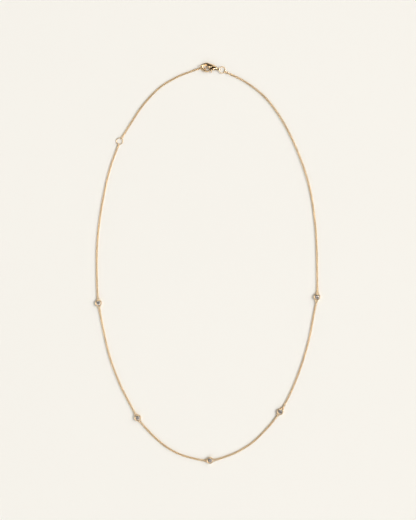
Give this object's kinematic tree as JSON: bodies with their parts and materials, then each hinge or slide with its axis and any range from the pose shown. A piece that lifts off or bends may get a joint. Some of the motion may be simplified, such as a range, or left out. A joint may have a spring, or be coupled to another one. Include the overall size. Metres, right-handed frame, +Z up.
{
  "type": "station necklace",
  "caption": "Fine yellow-gold cable chain necklace with round stones in open bezel cups along its front, an adjusting ring and a lobster clasp, lying open in its round shape.",
  "frame": {"origin": "on the surface that the necklace lies on, below the middle of its outline", "axes": "+Y runs from the middle station at the front to the clasp at the back, +X to the right of a viewer who looks down on the stones' tables, +Z up from the surface"},
  "size_m": [0.1034, 0.1842, 0.0022],
  "materials": {
    "gold": "polished",
    "diamond": "faceted"
  },
  "bodies": {
    "necklace": {"chain_1": "gold", "chain_2": "gold", "chain_3": "gold", "chain_4": "gold", "chain_5": "gold", "chain_6": "gold", "chain_7": "gold", "bezel_1": "gold", "bezel_2": "gold", "bezel_3": "gold", "bezel_4": "gold", "bezel_5": "gold", "stone_1": "diamond", "stone_2": "diamond", "stone_3": "diamond", "stone_4": "diamond", "stone_5": "diamond", "end_ring": "gold", "extender_ring": "gold", "clasp_ring": "gold", "clasp_body": "gold", "clasp_pin": "gold"},
    "lever": {"clasp_lever": "gold"}
  },
  "joints": [
    {"name": "lever_pivot", "type": "hinge", "parent": "necklace", "child": "lever", "pos_m": [0.0026, 0.08945, 0.00095], "axis": [0, 0, -1], "range_deg": [0, 22], "stiffness_Nm_per_rad": 0.005}
  ]
}
